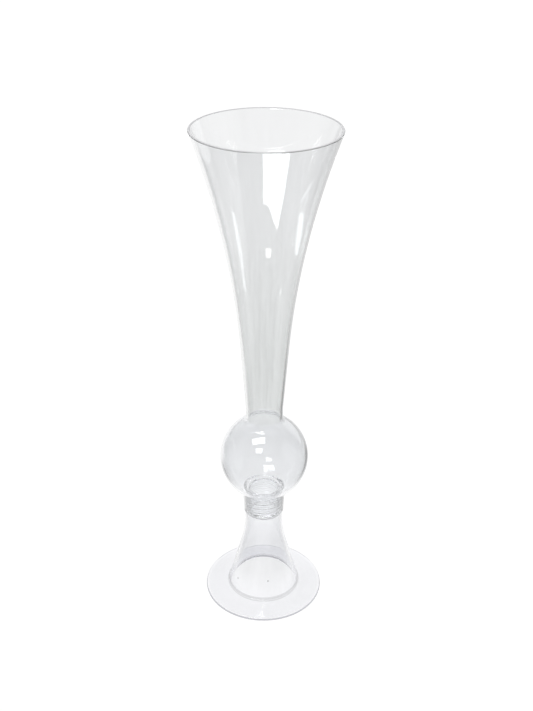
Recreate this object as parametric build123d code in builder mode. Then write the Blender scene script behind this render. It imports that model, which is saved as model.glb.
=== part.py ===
from build123d import *
from math import atan2, sqrt, tan
import os

# A tall clear trumpet vase, free-standing, in four pieces.
# An open flared trumpet is bonded to the top of a hollow ball. The ball has a threaded collar
# below, open to its inside, and a bell-shaped foot screws up into it with a threaded spigot. The
# foot's floor closes the vessel, and a seal on the foot's shoulder keeps the joint watertight.
# Millimetres, +Z up, origin at the centre of the foot where it stands on the table.

# Whole vase
vase_height = 610.0

# Foot: the brim, the bell above it and the neck under the collar
brim_radius = 74.3
brim_edge_height = 2.8  # thickness of the outer edge
brim_edge_round = 1.6
brim_under_chamfer = 0.6
brim_rise = 8.5  # height of the brim's upper face where the bell starts
rest_land_width = 4.0  # flat ring that stands on the table
foot_wall = 2.8
bell_radius = 45.0  # where the bell meets the brim
bell_fillet = 4.8
bell_bend_reach = 19.5912  # how much of the neck the bend from the bell's taper takes up
neck_radius = 23.4
shoulder_height = 119.8
neck_length = 28.9  # from the shoulder down to where the taper and the neck would meet unbent
floor_thickness = 3.2  # the vessel's floor, level with the shoulder below
floor_chamfer = 2.8  # under the floor, where it meets the bell's neck

# Spigot on the foot, an open tube with a coarse moulded right-hand thread
spigot_length = 32.7
spigot_core_radius = 19.6
spigot_lead_in = 0.8
spigot_foot_fillet = 2.0  # inside, round the floor
thread_depth = 1.4
thread_pitch = 6.5
thread_turns = 3.25
thread_base_width = 3.6
thread_crest_width = 1.9
thread_overlap = 0.35  # how deep a ridge is rooted in its wall
thread_run_out = 0.8  # free length beyond each end of a ridge
thread_clearance = 0.4  # radial, between spigot and socket

# Seal between the foot's shoulder and the collar
seal_thickness = 1.6
seal_width = 1.8

# Ball, with the collar below and the neck above
ball_radius = 53.8
ball_belt = 3.0  # short straight band round the middle, between two half balls
ball_wall = 2.8
collar_length = 31.4
collar_foot_radius = 24.9
collar_top_radius = 26.7
collar_edge_round = 1.2
collar_fillet = 1.5
ball_neck_rise = 6.4  # from the ball's round surface up to the joint
ball_neck_fillet = 9.5
ball_throat_fillet = 5.0  # inside, where the ball runs up into its neck

# Trumpet
mouth_radius = 82.1
flare_start_radius = 28.4
flare_start_height = 352.0
waist_radius = 22.3
trumpet_wall = 2.8
waist_rise = 12.2  # straight tube between the joint and the start of the taper
waist_bend = 120.0  # gentle bend of the outside, from the tube to the taper
tongue_length = 4.0  # the thin end of the tube that is bonded into the ball's neck
tongue_width = 1.3
bond_gap = 0.2
lip_round = 1.1


def ball_rise(radius, inset):
    """How far above or below its middle the ball's wall, moved in by an inset, has a radius."""
    return ball_belt / 2 + sqrt((ball_radius - inset) ** 2 - radius**2)


# Heights of the stack, from the table up
bell_bend_height = shoulder_height - neck_length
bell_slope = atan2(bell_radius - neck_radius, bell_bend_height - brim_rise)
bell_bend = bell_bend_reach / tan(bell_slope / 2)
spigot_top = shoulder_height + spigot_length
floor_height = shoulder_height + floor_thickness
collar_bottom = shoulder_height + seal_thickness
collar_top = collar_bottom + collar_length
ball_center = collar_top + ball_rise(collar_top_radius, 0)
ball_neck_start = ball_center + ball_rise(waist_radius, 0)
joint_height = ball_neck_start + ball_neck_rise
waist_height = joint_height + waist_rise

# Thread: the socket's ridge runs half a pitch below the spigot's, so the two are in mesh
spigot_crest_radius = spigot_core_radius + thread_depth
socket_radius = spigot_crest_radius + thread_clearance
thread_rise = thread_turns * thread_pitch
spigot_thread_start = spigot_top - thread_run_out - thread_base_width / 2 - thread_rise
socket_thread_start = spigot_thread_start - thread_pitch / 2
pilot_top = socket_thread_start - thread_base_width / 2 - thread_run_out


def ridge_profile(path, outward):
    """Section of one thread ridge across its path, rooted in the wall, pointing out (1) or in (-1)."""
    across = Plane(origin=path @ 0, x_dir=(outward, 0, 0), z_dir=path % 0)
    with BuildSketch(across) as ridge:
        with BuildLine():
            Polyline(
                (-thread_overlap, -thread_base_width / 2),
                (0, -thread_base_width / 2),
                (thread_depth, -thread_crest_width / 2),
                (thread_depth, thread_crest_width / 2),
                (0, thread_base_width / 2),
                (-thread_overlap, thread_base_width / 2),
                close=True,
            )
        make_face()
    return ridge.sketch


# Foot: one wall from the brim to the open top of the spigot, closed by a floor
spigot_bore_radius = spigot_core_radius - foot_wall
bell_neck_inside = neck_radius - foot_wall

with BuildPart() as foot:
    with BuildSketch(Plane.XZ) as foot_section:
        with BuildLine():
            FilletPolyline(
                (brim_radius, 0),
                (brim_radius, brim_edge_height),
                (bell_radius, brim_rise),
                (neck_radius, bell_bend_height),
                (neck_radius, shoulder_height),
                radius=(brim_edge_round, bell_fillet, bell_bend),
            )
            Polyline(
                (neck_radius, shoulder_height),
                (spigot_crest_radius, shoulder_height),
                (spigot_crest_radius, pilot_top),
                (spigot_core_radius, pilot_top + thread_depth),
                (spigot_core_radius, spigot_top - spigot_lead_in),
                (spigot_core_radius - spigot_lead_in, spigot_top),
                (spigot_bore_radius, spigot_top),
                (spigot_bore_radius, floor_height),
                (0, floor_height),
                (0, shoulder_height),
                (bell_neck_inside - floor_chamfer, shoulder_height),
                (bell_neck_inside, shoulder_height - floor_chamfer),
            )
            FilletPolyline(
                (bell_neck_inside, shoulder_height - floor_chamfer),
                (bell_neck_inside, bell_bend_height),
                (bell_radius - foot_wall, brim_rise - foot_wall),
                (brim_radius - rest_land_width, 0),
                radius=(bell_bend + foot_wall, bell_fillet),
            )
            Line((brim_radius - rest_land_width, 0), (brim_radius, 0))
        make_face()
        outer_corner = foot_section.vertices().sort_by_distance((brim_radius, 0))[0]
        chamfer(outer_corner, length=brim_under_chamfer)
        floor_corner = foot_section.vertices().sort_by_distance((spigot_bore_radius, floor_height))[0]
        fillet(floor_corner, radius=spigot_foot_fillet)
    revolve(axis=Axis.Z)
    with BuildLine() as spigot_path:
        Helix(
            pitch=thread_pitch,
            height=thread_rise,
            radius=spigot_core_radius,
            center=(0, 0, spigot_thread_start),
        )
    add(ridge_profile(spigot_path.line, 1))
    sweep(path=spigot_path.line, is_frenet=True)

foot.part.label = "foot"

# Seal: a flat washer round the spigot, punched square
with BuildPart() as seal_ring:
    with BuildSketch(Plane.XY.offset(shoulder_height)):
        Circle(socket_radius + seal_width)
        Circle(socket_radius, mode=Mode.SUBTRACT)
    extrude(amount=seal_thickness)

seal_ring.part.label = "seal_ring"

# Ball: a round shell, thick where it runs down into the collar
inner_ball_radius = ball_radius - ball_wall
trumpet_bore_radius = waist_radius - trumpet_wall
tongue_radius = trumpet_bore_radius + tongue_width
tongue_bottom = joint_height - tongue_length
recess_radius = tongue_radius + bond_gap
recess_bottom = tongue_bottom - bond_gap
throat_start = ball_center + ball_rise(trumpet_bore_radius, ball_wall)
socket_top = ball_center - ball_rise(socket_radius, ball_wall)
belt_top = ball_center + ball_belt / 2
belt_bottom = ball_center - ball_belt / 2

with BuildPart() as ball:
    with BuildSketch(Plane.XZ) as ball_section:
        with BuildLine():
            TangentArc((ball_radius, belt_top), (waist_radius, ball_neck_start), tangent=(0, 1))
            Line((ball_radius, belt_top), (ball_radius, belt_bottom))
            TangentArc((ball_radius, belt_bottom), (collar_top_radius, collar_top), tangent=(0, -1))
            FilletPolyline(
                (collar_top_radius, collar_top),
                (collar_foot_radius, collar_bottom),
                (socket_radius, collar_bottom),
                radius=collar_edge_round,
            )
            Line((socket_radius, collar_bottom), (socket_radius, socket_top))
            TangentArc((inner_ball_radius, belt_bottom), (socket_radius, socket_top), tangent=(0, -1))
            Line((inner_ball_radius, belt_bottom), (inner_ball_radius, belt_top))
            TangentArc((inner_ball_radius, belt_top), (trumpet_bore_radius, throat_start), tangent=(0, 1))
            Polyline(
                (trumpet_bore_radius, throat_start),
                (trumpet_bore_radius, recess_bottom),
                (recess_radius, recess_bottom),
                (recess_radius, joint_height),
                (waist_radius, joint_height),
                (waist_radius, ball_neck_start),
            )
        make_face()
        neck_corner = ball_section.vertices().sort_by_distance((waist_radius, ball_neck_start))[0]
        fillet(neck_corner, radius=ball_neck_fillet)
        throat_corner = ball_section.vertices().sort_by_distance((trumpet_bore_radius, throat_start))[0]
        fillet(throat_corner, radius=ball_throat_fillet)
        collar_corner = ball_section.vertices().sort_by_distance((collar_top_radius, collar_top))[0]
        fillet(collar_corner, radius=collar_fillet)
    revolve(axis=Axis.Z)
    with BuildLine() as socket_path:
        Helix(
            pitch=thread_pitch,
            height=thread_rise,
            radius=socket_radius,
            center=(0, 0, socket_thread_start),
        )
    add(ridge_profile(socket_path.line, -1))
    sweep(path=socket_path.line, is_frenet=True)

ball.part.label = "ball"


def flare_wall(inset):
    """The trumpet's line from waist to mouth, a straight taper and a tangent arc, moved in by a wall."""
    waist = Vector(waist_radius - inset, waist_height)
    flare_start = Vector(flare_start_radius - inset, flare_start_height)
    mouth = Vector(mouth_radius - inset, vase_height)
    Line(waist, flare_start)
    TangentArc(flare_start, mouth, tangent=flare_start - waist)


# Trumpet: one flared wall, with a thin tongue at its lower end
with BuildPart() as trumpet:
    with BuildSketch(Plane.XZ) as trumpet_section:
        with BuildLine():
            flare_wall(0)
            flare_wall(trumpet_wall)
            Line((mouth_radius, vase_height), (mouth_radius - trumpet_wall, vase_height))
            Polyline(
                (trumpet_bore_radius, waist_height),
                (trumpet_bore_radius, tongue_bottom),
                (tongue_radius, tongue_bottom),
                (tongue_radius, joint_height),
                (waist_radius, joint_height),
                (waist_radius, waist_height),
            )
        make_face()
        lip = trumpet_section.vertices().group_by(Axis.Y)[-1]
        fillet(lip, radius=lip_round)
        outer_waist = trumpet_section.vertices().sort_by_distance((waist_radius, waist_height))[0]
        fillet(outer_waist, radius=waist_bend)
        inner_waist = trumpet_section.vertices().sort_by_distance((trumpet_bore_radius, waist_height))[0]
        fillet(inner_waist, radius=waist_bend + trumpet_wall)
    revolve(axis=Axis.Z)

trumpet.part.label = "trumpet"

os.makedirs("parts", exist_ok=True)
export_step(foot.part, "parts/foot.step")
export_step(seal_ring.part, "parts/seal_ring.step")
export_step(ball.part, "parts/ball.step")
export_step(trumpet.part, "parts/trumpet.step")
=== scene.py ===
import math
import bpy
import bmesh
from mathutils import Matrix, Vector


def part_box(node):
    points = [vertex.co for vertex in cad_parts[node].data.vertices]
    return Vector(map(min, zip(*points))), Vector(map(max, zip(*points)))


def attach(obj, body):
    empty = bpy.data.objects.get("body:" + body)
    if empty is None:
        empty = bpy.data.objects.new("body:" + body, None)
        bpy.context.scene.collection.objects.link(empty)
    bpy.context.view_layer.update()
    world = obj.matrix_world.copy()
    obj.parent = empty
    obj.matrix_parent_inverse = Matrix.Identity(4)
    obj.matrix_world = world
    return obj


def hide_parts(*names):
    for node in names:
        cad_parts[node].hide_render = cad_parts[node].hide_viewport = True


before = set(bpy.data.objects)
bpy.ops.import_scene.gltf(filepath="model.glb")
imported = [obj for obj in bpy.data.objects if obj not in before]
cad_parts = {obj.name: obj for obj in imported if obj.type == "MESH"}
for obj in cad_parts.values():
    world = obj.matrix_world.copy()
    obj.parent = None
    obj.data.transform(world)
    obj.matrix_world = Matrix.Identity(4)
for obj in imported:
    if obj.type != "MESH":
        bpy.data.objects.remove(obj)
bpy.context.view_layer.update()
print("trumpet vase: frame loaded with", ", ".join(sorted(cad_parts)))

# Heights that the pieces share, read from the solids, in metres
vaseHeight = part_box("trumpet")[1].z
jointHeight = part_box("ball")[1].z
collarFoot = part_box("ball")[0].z
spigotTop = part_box("foot")[1].z
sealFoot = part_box("seal_ring")[0].z

airGap = 0.00006                 # kept between pieces that touch: no two clear faces coincide
roundSteps = 256                 # facets round the axis
coarseTurn = math.radians(22)    # turn between two points of a round: out of sight,
plainTurn = math.radians(7)      # small,
fineTurn = math.radians(3)       # in full view
finestTurn = math.radians(1)     # and of a long bend
sharpAngle = math.radians(38)    # edges sharper than this keep their crease
tiny = 1e-6                      # points closer than this are one
straight = 1e-9                  # an arc that bows less than this is a line


# Outlines


def spread(low, high, steps):
    # evenly spaced values, both ends included
    return [low + (high - low) * i / steps for i in range(steps + 1)]


def arcPoints(centre, radius, first, last, steps):
    return [(centre[0] + radius * math.cos(a), centre[1] + radius * math.sin(a))
            for a in spread(first, last, steps)]


def arcFrom(start, heading, end, steps):
    # points of an arc that leaves start along heading and arrives at end
    chord = Vector((end[0] - start[0], end[1] - start[1]))
    tangent = Vector(heading).normalized()
    side = Vector((tangent.y, -tangent.x))
    bow = side.dot(chord)
    if abs(bow) < straight:
        return [start, end]
    radius = chord.length_squared / (2 * bow)
    centre = Vector(start) + side * radius
    spoke = Vector(start) - centre
    toEnd = Vector(end) - centre
    turn = math.atan2(spoke.x * toEnd.y - spoke.y * toEnd.x, spoke.dot(toEnd))
    return [(centre.x + spoke.x * math.cos(a) - spoke.y * math.sin(a),
             centre.y + spoke.x * math.sin(a) + spoke.y * math.cos(a)) for a in spread(0, turn, steps)]


def neckBend(centre, radius, line, bend, steps):
    # the arc that joins a straight neck of one radius to the side of a ball, both tangent
    across = line + bend - centre[0]
    middle = Vector((line + bend, centre[1] + math.sqrt((radius + bend) ** 2 - across**2)))
    towards = Vector(centre) - middle
    return arcPoints(middle, bend, math.pi, math.atan2(towards.y, towards.x) % math.tau, steps)


def bentLine(corners, turn=plainTurn):
    # corners are (radius, height) or (radius, height, bend); a bend rounds the corner with an arc
    points = []
    for i, corner in enumerate(corners):
        bend = corner[2] if len(corner) > 2 else 0
        here = Vector(corner[:2])
        if not bend or i in (0, len(corners) - 1):
            points.append((here.x, here.y))
            continue
        back = (Vector(corners[i - 1][:2]) - here).normalized()
        ahead = (Vector(corners[i + 1][:2]) - here).normalized()
        opening = back.angle(ahead)
        reach = bend / math.tan(opening / 2)
        steps = max(2, round((math.pi - opening) / turn))
        start, end = here + back * reach, here + ahead * reach
        points += arcFrom(tuple(start), tuple(-back), tuple(end), steps)
    return points


# The screw thread, the same on the spigot and in the socket

screwThread = {
    "coreRadius": 0.0196,
    "depth": 0.0014,
    "pitch": 0.0065,
    "turns": 3.25,
    "baseWidth": 0.0036,
    "crestWidth": 0.0019,
    "runOut": 0.0008,       # free length beyond each end of a ridge
    "clearance": 0.0004,
    "fadeTurn": 0.06,       # share of a turn over which a ridge's end sinks into the wall
    "rowHeight": 0.0002,
}
threadRise = screwThread["pitch"] * screwThread["turns"]
threadMargin = screwThread["runOut"] + screwThread["baseWidth"] / 2
spigotThreadStart = spigotTop - threadMargin - threadRise
socketThreadStart = spigotThreadStart - screwThread["pitch"] / 2      # half a pitch lower, so in mesh
socketThreadFoot = socketThreadStart - threadMargin
crestRadius = screwThread["coreRadius"] + screwThread["depth"]
socketRadius = crestRadius + screwThread["clearance"]


def ridgeHeight(angle, height, start):
    # how far the right-hand ridge stands off its wall at a place
    t = screwThread
    best = 0
    for turn in range(math.ceil(t["turns"])):
        along = angle / math.tau + turn
        away = abs(height - start - t["pitch"] * along)
        flank = (t["baseWidth"] / 2 - away) / ((t["baseWidth"] - t["crestWidth"]) / 2)
        flank = min(1, max(0, flank))
        flank = flank * flank * (3 - 2 * flank)
        sunk = max(0, min(1, along / t["fadeTurn"], (t["turns"] - along) / t["fadeTurn"]))
        best = max(best, t["depth"] * flank * sunk)
    return best


def threadedWall(radius, low, high, side, start):
    # a straight wall with the ridge on it: side 1 stands out, side -1 stands in
    rows = math.ceil(abs(high - low) / screwThread["rowHeight"])
    return [(radius, height, side, start) for height in spread(low, high, rows)]


# Turning an outline into a piece


def withoutRepeats(outline):
    # the outline with one point at each place, its first one closing the loop
    loop = []
    for point in outline:
        if not loop or math.dist(point[:2], loop[-1][:2]) > tiny:
            loop.append(point)
    if math.dist(loop[0][:2], loop[-1][:2]) < tiny:
        loop.pop()
    return loop


def makeRing(work, point):
    # the points that one outline point makes on its way round, or the one point on the axis
    radius, height = point[:2]
    if radius < tiny:
        return [work.verts.new((0, 0, height))]
    ring = []
    for i in range(roundSteps):
        angle = math.tau * i / roundSteps
        r = radius
        if len(point) > 2:
            r += point[2] * ridgeHeight(angle, height, point[3])
        ring.append(work.verts.new((r * math.cos(angle), r * math.sin(angle), height)))
    return ring


def joinRings(work, ringA, ringB):
    if len(ringA) == 1 and len(ringB) == 1:
        return
    for i in range(roundSteps):
        j = (i + 1) % roundSteps
        if len(ringA) == 1:
            work.faces.new((ringA[0], ringB[i], ringB[j]))
        elif len(ringB) == 1:
            work.faces.new((ringA[i], ringA[j], ringB[0]))
        else:
            work.faces.new((ringA[i], ringA[j], ringB[j], ringB[i]))


def turnPiece(name, outline, body, node, material, bonded=False):
    # a closed outline, turned round the axis; a bonded piece is left open between its last and
    # first points, where clear cement joins it to its neighbour
    mesh = bpy.data.meshes.new(name)
    work = bmesh.new()
    rings = [makeRing(work, point) for point in withoutRepeats(outline)]
    following = rings[1:] if bonded else rings[1:] + rings[:1]
    for ringA, ringB in zip(rings, following):
        joinRings(work, ringA, ringB)
    bmesh.ops.recalc_face_normals(work, faces=work.faces)
    work.to_mesh(mesh)
    work.free()
    mesh.shade_smooth()
    mesh.set_sharp_from_angle(angle=sharpAngle)
    piece = bpy.data.objects.new(name, mesh)
    bpy.context.collection.objects.link(piece)
    mesh.materials.append(material)
    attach(piece, body)
    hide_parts(node)
    print("  made", name, "with", len(mesh.vertices), "points")


# Node wiring


class Signal:        # one output socket; arithmetic and comparison on it add Math nodes
    def __init__(self, bench, socket):
        self.bench = bench
        self.socket = socket

    def __add__(self, other):
        return self.bench.maths("ADD", self, other)

    def __sub__(self, other):
        return self.bench.maths("SUBTRACT", self, other)

    def __rsub__(self, other):
        return self.bench.maths("SUBTRACT", other, self)

    def __mul__(self, other):
        return self.bench.maths("MULTIPLY", self, other)

    def __gt__(self, other):
        return self.bench.maths("GREATER_THAN", self, other)

    def __lt__(self, other):
        return self.bench.maths("LESS_THAN", self, other)

    def __abs__(self):
        return self.bench.maths("ABSOLUTE", self, 0.0)

    __radd__ = __add__
    __rmul__ = __mul__


class Bench:         # a node tree that a material or the world is wired on
    def __init__(self, tree):
        self.tree = tree
        tree.nodes.clear()

    def add(self, kind, settings=None, inputs=None, output=0):
        node = self.tree.nodes.new(kind)
        for key, value in (settings or {}).items():
            if key == "stops":
                ramp = node.color_ramp
                while len(ramp.elements) < len(value):
                    ramp.elements.new(1.0)
                for element, (place, colour) in zip(ramp.elements, value):
                    element.position = place
                    element.color = (*colour, 1)
            else:
                setattr(node, key, value)
        for key, value in (inputs or {}).items():
            if isinstance(value, Signal):
                self.tree.links.new(value.socket, node.inputs[key])
            else:
                node.inputs[key].default_value = value
        return Signal(self, node.outputs[output]) if len(node.outputs) else None

    def maths(self, operation, first, second):
        return self.add("ShaderNodeMath", {"operation": operation}, {0: first, 1: second})

    def vectors(self, operation, first, second=(0, 0, 0), output=0):
        return self.add("ShaderNodeVectorMath", {"operation": operation}, {0: first, 1: second}, output)

    def place(self):
        return self.add("ShaderNodeTexCoord", output="Object")

    def axis(self, vector, letter):
        return self.add("ShaderNodeSeparateXYZ", {}, {"Vector": vector}, output=letter)

    def noise(self, place, scale, detail):
        return self.add("ShaderNodeTexNoise", {}, {"Vector": place, "Scale": scale, "Detail": detail})

    def stretched(self, place, share):
        return self.add("ShaderNodeMapping", {}, {"Vector": place, "Scale": (1, 1, share)})

    def fade(self, value, limits, low=0.0, high=1.0):
        return self.add("ShaderNodeMapRange", {"interpolation_type": "SMOOTHSTEP"}, {
            "Value": value, "From Min": limits[0], "From Max": limits[1],
            "To Min": low, "To Max": high})

    def mixedColour(self, share, first, second):
        # sockets 6 and 7 hold the two colours
        return self.add("ShaderNodeMix", {"data_type": "RGBA"},
                        {"Factor": share, 6: (*first, 1), 7: (*second, 1)}, output=2)

    def sight(self, kind):
        # what the line of sight is, such as "Is Camera Ray"
        return self.add("ShaderNodeLightPath", output=kind)

    def reflected(self):
        # 1 for a line of sight that a surface has reflected, 0 for one that only passed through
        return self.sight("Glossy Depth") > 0.5

    def glow(self, strength, colour=(1.0, 1.0, 1.0)):
        return self.add("ShaderNodeEmission", {}, {"Color": (*colour, 1), "Strength": strength})

    def clear(self, colour=(1.0, 1.0, 1.0)):
        return self.add("ShaderNodeBsdfTransparent", {}, {"Color": (*colour, 1)})

    def mixed(self, share, first, second):
        return self.add("ShaderNodeMixShader", {}, {"Fac": share, 1: first, 2: second})

    def surface(self, shader):
        self.add("ShaderNodeOutputMaterial", {}, {"Surface": shader})


def newMaterial(name):
    material = bpy.data.materials.new(name)
    material.use_nodes = True
    return material, Bench(material.node_tree)


# The clear walls

clearWall = {
    "tintAndPaintedShade": (               # by height, in metres: the walls' own tone, with painted shade where they are darker
        (0.34, (0.880, 0.890, 0.888)),
        (0.50, (0.922, 0.928, 0.932)),
        (0.60, (0.914, 0.919, 0.925)),
    ),
    "roughness": 0.012,
    "ior": 1.49,
    "flowScale": 14.0,       # faint marks where the plastic flowed into the mould
    "flowStretch": 0.22,     # along the axis
    "flowLimits": (0.50, 0.72),
    "flowShade": 0.97,       # they are this much darker
    "haze": 0.03,            # and rougher, in fine grains
    "grainScale": 420.0,
    "wave": 0.00004,         # height of the slow waves in the surface
    "waveStrength": 0.35,
    "lineScale": 230.0,      # fine darker lines along the axis
    "lineStretch": 0.012,
    "lineLimits": (0.45, 0.65),
    "lineShade": 0.965,
    "lineFade": (0.38, 0.54),    # between these heights they fade
    "lineShare": 0.30,           # to this share
    "specks": (),            # small dark inclusions: place, radius and shade
    "ring": None,            # painted shade: a dark line round the axis for the one a clear fillet shows: radius, half its width, and shade
    "paintedEdgeShade": None,            # painted shade: a grey see-through layer on a thin edge, for its dark line: radius, colour and share
    "shadowTint": (0.940, 0.942, 0.945),     # lets the room's light through to the floor at each face
}

ballWall = {
    # lighter at the collar and darker up the ball; the darker part is painted shade
    "tintAndPaintedShade": (
        (0.165, (0.970, 0.976, 0.985)),
        (0.200, (0.882, 0.890, 0.902)),
    ),
    "lineShade": 1.0,
}

footWall = {
    # the darker band up the bell is painted shade
    "tintAndPaintedShade": (
        (0.010, (0.948, 0.951, 0.972)),
        (0.045, (0.880, 0.884, 0.896)),
        (0.075, (0.905, 0.909, 0.922)),
        (0.110, (0.925, 0.930, 0.944)),
        (sealFoot, (0.970, 0.974, 0.980)),
    ),
    "lineShade": 0.985,
    "specks": (
        ((0.0060, -0.0380, 0.0335), 0.0009, 0.15),
        ((-0.0327, -0.0239, 0.0258), 0.0011, 0.30),
    ),
    "ring": (0.0450, 0.0008, 0.66),      # painted shade where the bell meets the brim
    # painted shade along the brim's outer edge
    "paintedEdgeShade": (0.0737, (0.52, 0.52, 0.56), 0.85),
}


def wallShade(bench, place, height, radius, marks, look):
    # how dark each place of a wall is, apart from its tint
    shade = 1 - marks * (1 - look["flowShade"])
    lines = bench.noise(bench.stretched(place, look["lineStretch"]), look["lineScale"], detail=1.0)
    strength = bench.fade(height, look["lineFade"], 1.0, look["lineShare"]) * (1 - look["lineShade"])
    shade = shade * (1 - bench.fade(lines, look["lineLimits"]) * strength)
    # painted shade: a dark line at one radius
    if look["ring"]:
        shadeRingRadius, half, dark = look["ring"]
        shade = shade * (1 - (abs(radius - shadeRingRadius) < half) * (1 - dark))
    for centre, reach, dark in look["specks"]:
        away = bench.vectors("DISTANCE", place, centre, output=1)
        shade = shade * (1 - (away < reach) * (1 - dark))
    return shade


def clearMaterial(name, look):
    material, bench = newMaterial(name)
    place = bench.place()
    height = bench.axis(place, "Z")
    flat = bench.vectors("MULTIPLY", place, (1, 1, 0))
    radius = bench.vectors("LENGTH", flat, output=1)
    flow = bench.noise(bench.stretched(place, look["flowStretch"]), look["flowScale"], detail=3.0)
    grain = bench.noise(place, look["grainScale"], detail=2.0)
    marks = bench.fade(flow, look["flowLimits"])
    stops = [(level / vaseHeight, colour) for level, colour in look["tintAndPaintedShade"]]
    # the walls' tone by height, with painted shade in its darker stops
    tintAndShade = bench.add("ShaderNodeValToRGB", {"stops": stops}, {"Fac": height * (1 / vaseHeight)})
    shade = wallShade(bench, place, height, radius, marks, look)
    colour = bench.add("ShaderNodeVectorMath", {"operation": "SCALE"}, {0: tintAndShade, "Scale": shade})
    bump = bench.add("ShaderNodeBump", {}, {
        "Strength": look["waveStrength"], "Distance": look["wave"], "Height": flow})
    wall = bench.add("ShaderNodeBsdfPrincipled", {}, {
        "Base Color": colour, "Roughness": look["roughness"] + marks * look["haze"] * grain,
        "IOR": look["ior"], "Transmission Weight": 1.0, "Normal": bump})
    # painted shade: past a radius the wall is partly a grey see-through layer
    if look["paintedEdgeShade"]:
        shadedEdgeRadius, shadedEdgeColour, shadedEdgeShare = look["paintedEdgeShade"]
        wall = bench.mixed((radius > shadedEdgeRadius) * shadedEdgeShare, wall, bench.clear(shadedEdgeColour))
    lighting = bench.sight("Is Shadow Ray") + bench.sight("Is Diffuse Ray")
    share = bench.maths("MINIMUM", lighting, 1.0)
    bench.surface(bench.mixed(share, wall, bench.clear(look["shadowTint"])))
    return material


# The seal, and the lip of the mouth painted grey as shade for the rim's dark line

sealLook = {
    "colour": (0.80, 0.82, 0.83),
    "grainColour": (0.72, 0.74, 0.75),
    "grainScale": 900.0,
    "roughness": 0.38,
    "grainRoughness": 0.1,
    "grainHeight": 0.00005,
    "grainStrength": 0.2,
    "ior": 1.41,
    "transmission": 0.85,
}

# painted shade: grey for the dark line that the clear rim shows
edgeLook = {
    "colour": (0.70, 0.70, 0.72),
    "grainColour": (0.76, 0.76, 0.77),
    "grainScale": 300.0,
    "roughness": 0.55,
    "grainRoughness": 0.1,
}


def sealMaterial(name, look):
    material, bench = newMaterial(name)
    grain = bench.noise(bench.place(), look["grainScale"], detail=3.0)
    bump = bench.add("ShaderNodeBump", {}, {
        "Strength": look["grainStrength"], "Distance": look["grainHeight"], "Height": grain})
    bench.surface(bench.add("ShaderNodeBsdfPrincipled", {}, {
        "Base Color": bench.mixedColour(grain, look["colour"], look["grainColour"]),
        "Roughness": look["roughness"] + grain * look["grainRoughness"],
        "IOR": look["ior"], "Transmission Weight": look["transmission"], "Normal": bump}))
    return material


def edgeMaterial(name, look):
    material, bench = newMaterial(name)
    grain = bench.noise(bench.place(), look["grainScale"], detail=2.0)
    bench.surface(bench.add("ShaderNodeBsdfPrincipled", {}, {
        "Base Color": bench.mixedColour(grain, look["colour"], look["grainColour"]),
        "Roughness": look["roughness"] + grain * look["grainRoughness"]}))
    return material


trumpetWallMaterial = clearMaterial("clearTrumpetWall", clearWall)
ballWallMaterial = clearMaterial("clearBallWall", {**clearWall, **ballWall})
footWallMaterial = clearMaterial("clearFootWall", {**clearWall, **footWall})
washerMaterial = sealMaterial("softWasher", sealLook)
mouthEdgeMaterial = edgeMaterial("shadedMouthEdge", edgeLook)
print("materials ready")


# Trumpet

trumpetShape = {
    "mouthRadius": 0.0821,
    "flareStart": (0.0284, 0.352),
    "waist": (0.0223, 0.270),
    "waistBend": 0.12,
    "wall": 0.0028,
    "lipRound": 0.0011,
    "greyLipDepth": 0.0007,     # how far down the lip's grey painted shade reaches
    "taperSteps": 24,
    "waistCut": 5,              # steps of the taper that the waist's bend takes up
    "flareSteps": 240,
}


def flare(shape, inset):
    # from the bond up to the mouth: a straight tube, a taper, then a tangent arc
    s = shape
    tube = (s["waist"][0] - inset, jointHeight)
    waist = (s["waist"][0] - inset, s["waist"][1])
    start = (s["flareStart"][0] - inset, s["flareStart"][1])
    mouth = (s["mouthRadius"] - inset, vaseHeight)
    taper = list(zip(spread(waist[0], start[0], s["taperSteps"]),
                     spread(waist[1], start[1], s["taperSteps"])))
    bend = bentLine([tube, (*waist, s["waistBend"]), taper[s["waistCut"]]])
    heading = (start[0] - waist[0], start[1] - waist[1])
    arc = arcFrom(start, heading, mouth, s["flareSteps"])
    return bend + taper[s["waistCut"] + 1:-1] + arc


def makeTrumpet(shape):
    s = shape
    outer = flare(s, 0)
    inner = flare(s, s["wall"])[::-1]
    lip = bentLine([outer[-2], (*outer[-1], s["lipRound"]), (*inner[0], s["lipRound"]), inner[1]])
    low = vaseHeight - s["greyLipDepth"]
    # the top of the lip becomes its own piece, painted grey as shade for the rim's dark line
    greyLip = [point for point in lip if point[1] > low]
    outside, inside = greyLip[0][0], greyLip[-1][0]
    cut = low - airGap
    turnPiece("trumpetTube", outer[:-1] + [(outside, cut), (inside, cut)] + inner[1:],
              "vessel", "trumpet", trumpetWallMaterial, bonded=True)
    turnPiece("mouthEdge", [(outside, low)] + greyLip + [(inside, low)],
              "vessel", "trumpet", mouthEdgeMaterial)


makeTrumpet(trumpetShape)


# Ball with its collar

ballShape = {
    "radius": 0.0538,
    "wall": 0.0028,
    "neckFillet": 0.0095,
    "throatFillet": 0.0123,
    "bellyHeight": 0.201,
    "sideRadius": 0.0564,       # of the arc that makes the side, a little larger than the ball
    "collarTopRadius": 0.0267,
    "collarFootRadius": 0.0249,
    "collarFillet": 0.0015,
    "edgeRound": 0.0012,
    "socketRound": 0.0040,      # inside, where the ball runs down into the socket
    "socketReach": 0.0048,      # and how far down that round may reach
    "bendSteps": 22,
    "sideSteps": 150,
    "collarCut": 3,             # steps of the side that the collar's fillet takes up
    "socketCut": 16,            # and that the socket's round takes up inside
}


def sideArc(shape, inset, start, toRadius):
    # the ball's side, bulging out from a point above to a radius below
    radius = shape["sideRadius"] - inset
    offset = shape["sideRadius"] - shape["radius"]
    first = math.atan2(start[1] - shape["bellyHeight"], start[0] + offset)
    last = -math.acos((toRadius + offset) / radius)
    return arcPoints((-offset, shape["bellyHeight"]), radius, first, last, shape["sideSteps"])


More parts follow.
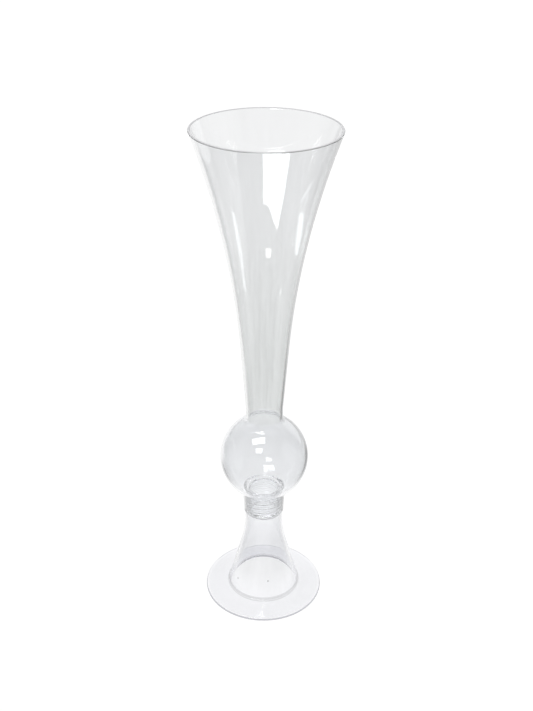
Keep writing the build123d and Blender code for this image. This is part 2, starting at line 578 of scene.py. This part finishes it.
def makeBall(shape):
    s = shape
    tube = trumpetShape["waist"][0]
    bore = tube - trumpetShape["wall"]
    centre = (s["radius"] - s["sideRadius"], s["bellyHeight"])
    neck = neckBend(centre, s["sideRadius"], tube, s["neckFillet"], s["bendSteps"])
    throat = neckBend(centre, s["sideRadius"] - s["wall"], bore, s["throatFillet"], s["bendSteps"])
    outer = sideArc(s, 0, neck[-1], s["collarTopRadius"])
    inner = sideArc(s, s["wall"], throat[-1], socketRadius)
    collar = bentLine([outer[-s["collarCut"]], (*outer[-1], s["collarFillet"]),
                       (s["collarFootRadius"], collarFoot, s["edgeRound"]), (socketRadius, collarFoot)])
    socketTop = inner[-1][1] - s["socketReach"]
    socket = threadedWall(socketRadius, socketThreadFoot, socketTop, -1, socketThreadStart)
    mouth = bentLine([(socketRadius, socketTop), (*inner[-1], s["socketRound"]), inner[-s["socketCut"]]])
    outside = [(tube, jointHeight)] + neck[:-1] + outer[:-s["collarCut"]] + collar
    inside = mouth[1:-1] + inner[-s["socketCut"]::-1] + throat[-2::-1] + [(bore, jointHeight)]
    turnPiece("ballShell", outside + socket + inside,
              "vessel", "ball", ballWallMaterial, bonded=True)


makeBall(ballShape)


# Seal

washerShape = {
    "outer": 0.0232,
    "inner": 0.0214,
    "round": 0.0004,
}


def makeWasher(shape):
    low, high = sealFoot + airGap, collarFoot - airGap
    inner, outer, bend = shape["inner"], shape["outer"], shape["round"]
    middle = (inner + outer) / 2
    outline = bentLine([(middle, low), (outer, low, bend), (outer, high, bend),
                        (inner, high, bend), (inner, low, bend), (middle, low)], coarseTurn)
    turnPiece("sealWasher", outline, "seal", "seal_ring", washerMaterial)


makeWasher(washerShape)


# Foot

footShape = {
    "wall": 0.0028,
    "brimRadius": 0.0743,
    "edgeHeight": 0.0028,
    "edgeRound": 0.0016,
    "underChamfer": 0.0006,
    "restLand": 0.004,          # width of the flat ring that stands on the table
    "bellStart": (0.045, 0.0085),
    "bellFillet": 0.0024,
    "bellFilletInside": 0.0012,
    "bellStep": (-0.003, 0.01144),      # from the bell's start, a short way up its taper
    "neckRadius": 0.0234,
    "bendHeight": 0.0909,
    "bend": 0.152,
    "shoulderRound": 0.0005,
    "spigotFootRound": 0.0003,
    "floorThickness": 0.0032,
    "floorChamfer": 0.0028,
    "floorChamferRound": 0.001,
    "floorRound": 0.002,
    "leadIn": 0.0008,
    "spigotTopRound": 0.0004,
    "spigotTopRoundInside": 0.0008,
}


def makeFoot(shape):
    s = shape
    shoulder = sealFoot
    floorTop = shoulder + s["floorThickness"]
    core = screwThread["coreRadius"]
    bore = core - s["wall"]
    neck = s["neckRadius"]
    neckInside = neck - s["wall"]
    bell, step = s["bellStart"], s["bellStep"]
    brimRadius, edge = s["brimRadius"], s["edgeHeight"]
    landEnd = (brimRadius - s["restLand"], 0)
    chamfer, chamferRound = s["floorChamfer"], s["floorChamferRound"]
    threadFoot = socketThreadFoot + screwThread["depth"]

    # the outline starts a third of the way up the brim's edge
    brim = bentLine([(brimRadius, edge / 3), (brimRadius, edge, s["edgeRound"]), (*bell, s["bellFillet"]),
                     (bell[0] + step[0], bell[1] + step[1])], fineTurn)
    rise = bentLine([brim[-1], (neck, s["bendHeight"], s["bend"]), (neck, shoulder)], finestTurn)[1:-1]
    spigotFoot = bentLine([(neck, s["bendHeight"]), (neck, shoulder, s["shoulderRound"]),
                           (crestRadius, shoulder, s["spigotFootRound"]),
                           (crestRadius, socketThreadFoot), (core, threadFoot)])[1:]
    spigot = threadedWall(core, threadFoot, spigotTop - s["leadIn"], 1, spigotThreadStart)
    cap = bentLine([spigot[-1][:2], (core - s["leadIn"], spigotTop, s["spigotTopRound"]),
                    (bore, spigotTop, s["spigotTopRoundInside"]), (bore, floorTop, s["floorRound"]),
                    (0, floorTop)])[1:]
    ceiling = bentLine([(0, shoulder), (neckInside - chamfer, shoulder, chamferRound),
                        (neckInside, shoulder - chamfer, chamferRound),
                        (neckInside, s["bendHeight"])])[:-1]
    bellInside = bentLine([ceiling[-1], (neckInside, s["bendHeight"], s["bend"] + s["wall"]),
                           (bell[0] - s["wall"], bell[1] - s["wall"], s["bellFilletInside"]),
                           landEnd], finestTurn)[1:]
    under = [landEnd, (brimRadius - s["underChamfer"], 0), (brimRadius, s["underChamfer"])]
    outside = brim + rise + spigotFoot + spigot
    inside = cap + ceiling + bellInside + under
    turnPiece("bellFoot", outside + inside, "foot", "foot", footWallMaterial)


makeFoot(footShape)
print("pieces ready")


# Floor and surround: plain white to the camera and through the walls. Only a reflected line of
# sight sees the dim room, which is what makes the clear walls readable.

studio = {
    "floorRadius": 9.0,
    "floorFacets": 96,
    "floorColour": (0.35, 0.35, 0.35),
    "floorGlow": 0.72,                # seen on top of the lit floor
    "plain": 0.9,                     # the level that lights the floor and the mouth's grey-painted lip
    "roomDark": 0.13,                 # the room on the camera's side
    "sides": 0.40,                    # the room on both sides
    "sidesFrom": (-0.80, -0.25),      # how far round from the camera's side it turns to that
    "farRight": 1.0,                  # the wall far behind, on the right
    "farRightFrom": (0.50, 0.60),
    "farLeft": 0.85,                  # and on the left
    "farLeftFrom": (0.45, 0.85),
    "ceiling": 0.42,
    "ceilingFrom": (0.35, 0.60),      # sine of the elevation
    "tableFront": (-0.20, -0.46),     # the table fades into the dark between these, towards the camera
    "tableSides": (0.08, 0.22),       # and into the sides between these, except in three places:
    "lightLeft": (0.10, 0.30),        # behind the vase on the left, from these
    "lightLeftEnd": (-1.6, -1.0),     # and as far out as these
    "lightRight": (1.2, 1.6),         # far out on the right,
    "lightRightSlope": 0.66,          # where y exceeds this share of x
    "lightRightSoft": (-0.1, 0.1),    # by this much, softly
    "lightBehind": (0.30, 0.55),      # and behind the vase on both sides,
    "lightBehindEnd": (0.60, 0.90),
    "lightBehindShare": 0.5,          # half as light
}


def tableShade(bench, look):
    # how far the table's sides fade, and its front, as reflections see them
    place = bench.place()
    across, away = bench.axis(place, "X"), bench.axis(place, "Y")
    aside = abs(across)
    left = (across < 0.0) * bench.fade(across, look["lightLeftEnd"]) * bench.fade(away, look["lightLeft"])
    right = bench.fade(away - across * look["lightRightSlope"], look["lightRightSoft"])
    right = right * bench.fade(across, look["lightRight"])
    behind = bench.fade(away, look["lightBehind"]) * bench.fade(aside, look["lightBehindEnd"], 1.0, 0.0)
    sides = bench.fade(aside, look["tableSides"]) * (1 - left) * (1 - right)
    sides = sides * (1 - behind * look["lightBehindShare"])
    return sides * bench.reflected(), bench.fade(away, look["tableFront"]) * bench.reflected()


def makeFloor(look):
    # a pale lit floor that keeps the shadow, with a glow that lifts it to white
    mesh = bpy.data.meshes.new("floor")
    work = bmesh.new()
    bmesh.ops.create_circle(work, cap_ends=True, segments=look["floorFacets"], radius=look["floorRadius"])
    work.to_mesh(mesh)
    work.free()
    floor = bpy.data.objects.new("floor", mesh)
    bpy.context.collection.objects.link(floor)
    material, bench = newMaterial("paleFloor")
    seen = bench.sight("Is Camera Ray") + bench.sight("Is Glossy Ray") + bench.sight("Is Transmission Ray")
    lit = bench.add("ShaderNodeBsdfDiffuse", {}, {"Color": (*look["floorColour"], 1)})
    glow = bench.glow(bench.maths("MINIMUM", seen, 1.0) * look["floorGlow"])
    table = bench.add("ShaderNodeAddShader", {}, {0: lit, 1: glow})
    sides, front = tableShade(bench, look)
    withSides = bench.mixed(sides, table, bench.glow(look["sides"]))
    bench.surface(bench.mixed(front, withSides, bench.glow(look["roomDark"])))
    mesh.materials.append(material)


def makeWorld(look):
    world = bpy.data.worlds.new("studioWorld")
    world.use_nodes = True
    bench = Bench(world.node_tree)
    direction = bench.add("ShaderNodeTexCoord", output="Generated")
    across, away, height = (bench.axis(direction, letter) for letter in "XYZ")
    right = across > 0.0
    room = bench.fade(away, look["sidesFrom"], look["roomDark"], look["sides"])
    room = room + right * bench.fade(away, look["farRightFrom"], 0.0, look["farRight"] - look["sides"])
    room = room + (1 - right) * bench.fade(away, look["farLeftFrom"], 0.0, look["farLeft"] - look["sides"])
    upward = bench.fade(height, look["ceilingFrom"])
    room = room * (1 - upward) + upward * look["ceiling"]
    mirrored = bench.reflected()
    level = room * mirrored + (1 - mirrored)
    diffuse = bench.sight("Is Diffuse Ray")
    sky = bench.add("ShaderNodeBackground", {}, {
        "Color": (1, 1, 1, 1), "Strength": level * (1 - diffuse) + diffuse * look["plain"]})
    bench.add("ShaderNodeOutputWorld", {}, {"Surface": sky})
    bpy.context.scene.world = world


# What the walls reflect: windows and lit panels round the camera, as flat outlines in metres
white = (1.0, 1.0, 1.0)
reflections = {
    "windowBehind": {
        "corners": ((0.174, -1.45, 0.965), (-1.58, -1.45, 1.06), (-1.44, -1.45, 0.74),
                    (-1.18, -1.45, 0.61), (-0.967, -1.45, 0.484), (-0.616, -1.45, 0.552),
                    (-0.174, -1.45, 0.652), (0.171, -1.45, 0.67)),
        "colour": white,
        "strength": 8.0,
    },
    "lampBehind": {
        "corners": ((0.031, -1.45, 0.41), (-0.534, -1.45, 0.392),
                    (-0.458, -1.45, 0.335), (-0.038, -1.45, 0.348)),
        "colour": (1.0, 0.93, 0.92),
        "strength": 6.0,
    },
    "panelAbove": {
        "corners": ((-0.68, -0.66, 1.3), (0.03, -0.62, 1.3),
                    (0.05, -0.28, 1.3), (-0.66, -0.28, 1.3)),
        "colour": white,
        "strength": 8.0,
    },
    "panelFarther": {
        "corners": ((-0.66, -1.45, 1.3), (-0.18, -1.50, 1.3),
                    (-0.10, -0.98, 1.3), (-0.62, -0.98, 1.3)),
        "colour": white,
        "strength": 7.0,
    },
    "doorRight": {
        "corners": ((1.2, -0.16, 0.11), (1.2, 0.12, 0.11), (1.2, 0.15, 0.33),
                    (1.2, 0.17, 0.45), (1.2, 0.0, 0.46), (1.2, -0.15, 0.37)),
        "colour": (0.96, 0.98, 1.0),
        "strength": 3.5,
    },
    "doorLeft": {
        "corners": ((-1.2, 0.15, 0.44), (-1.2, 0.47, 0.39), (-1.2, 0.89, 0.21),
                    (-1.2, 0.95, 0.09), (-1.2, 0.46, 0.21), (-1.2, 0.23, 0.33)),
        "colour": (0.93, 0.98, 1.0),
        "strength": 4.0,
    },
    "beamLeft": {
        "corners": ((-1.2, 0.02, 0.515), (-1.2, 0.48, 0.515),
                    (-1.2, 0.67, 0.472), (-1.2, 0.12, 0.49)),
        "colour": white,
        "strength": 2.5,
    },
    "lowLeft": {
        "corners": ((-1.2, -0.62, 0.02), (-1.2, -0.48, 0.02),
                    (-1.2, -0.46, 0.13), (-1.2, -0.60, 0.13)),
        "colour": white,
        "strength": 5.0,
    },
    "roomOnRight": {         # this one and the next keep the doors out of the ball
        "corners": ((0.4, -0.22, 0.08), (0.4, 0.20, 0.08),
                    (0.4, 0.20, 0.30), (0.4, -0.22, 0.30)),
        "colour": white,
        "strength": studio["sides"],
    },
    "roomOnLeft": {
        "corners": ((-0.4, -0.30, 0.05), (-0.4, 0.40, 0.05),
                    (-0.4, 0.40, 0.30), (-0.4, -0.30, 0.30)),
        "colour": white,
        "strength": 0.60,
    },
    "roomInFront": {         # keeps the window out of the ball and the brim
        "corners": ((-0.50, -0.30, 0.06), (0.30, -0.30, 0.06),
                    (0.30, -0.30, 0.40), (-0.50, -0.30, 0.40)),
        "colour": white,
        "strength": studio["roomDark"],
    },
}


def makeReflection(name, look):
    # seen only in the clear walls: it lights nothing and the camera doesn't see it
    mesh = bpy.data.meshes.new(name)
    mesh.from_pydata(look["corners"], [], [list(range(len(look["corners"])))])
    card = bpy.data.objects.new(name, mesh)
    bpy.context.collection.objects.link(card)
    material, bench = newMaterial(name)
    material.cycles.emission_sampling = "NONE"
    shine = bench.glow(look["strength"], look["colour"])
    bench.surface(bench.mixed(bench.reflected(), bench.clear(), shine))
    mesh.materials.append(material)
    card.visible_camera = False
    card.visible_diffuse = False
    card.visible_shadow = False


makeFloor(studio)
makeWorld(studio)
for cardName, cardLook in reflections.items():
    makeReflection(cardName, cardLook)


# Camera, fitted to the photo

photoHeight = 711        # pixels, the photo's longer side
cameraSetup = {
    "place": (0.0020, -1.0381, 0.9159),
    "pitchDown": math.radians(28.97),
    "roll": math.radians(0.42),
    "focalPixels": 1021.3,
    "sensor": 36.0,
}


def makeCamera(setup):
    data = bpy.data.cameras.new("photoCamera")
    data.sensor_width = setup["sensor"]
    data.lens = setup["focalPixels"] * setup["sensor"] / photoHeight
    camera = bpy.data.objects.new("photoCamera", data)
    bpy.context.collection.objects.link(camera)
    pitch, roll = setup["pitchDown"], setup["roll"]
    ahead = Vector((0, math.cos(pitch), -math.sin(pitch)))
    level = Vector((1, 0, 0))
    above = Vector((0, math.sin(pitch), math.cos(pitch)))
    right = level * math.cos(roll) + above * math.sin(roll)
    up = above * math.cos(roll) - level * math.sin(roll)
    turned = Matrix((right, up, -ahead)).transposed().to_4x4()
    camera.matrix_world = Matrix.Translation(setup["place"]) @ turned
    bpy.context.scene.camera = camera


makeCamera(cameraSetup)
bpy.context.scene.view_settings.view_transform = "Standard"

# A line of sight meets many clear faces in the collar, and light guided in a thick edge is
# reflected many times
wallBounces = 96
shadowBounces = 32
bpy.context.scene.cycles.max_bounces = wallBounces
bpy.context.scene.cycles.transmission_bounces = wallBounces
bpy.context.scene.cycles.glossy_bounces = wallBounces
bpy.context.scene.cycles.transparent_max_bounces = shadowBounces
print("floor, world and camera ready")
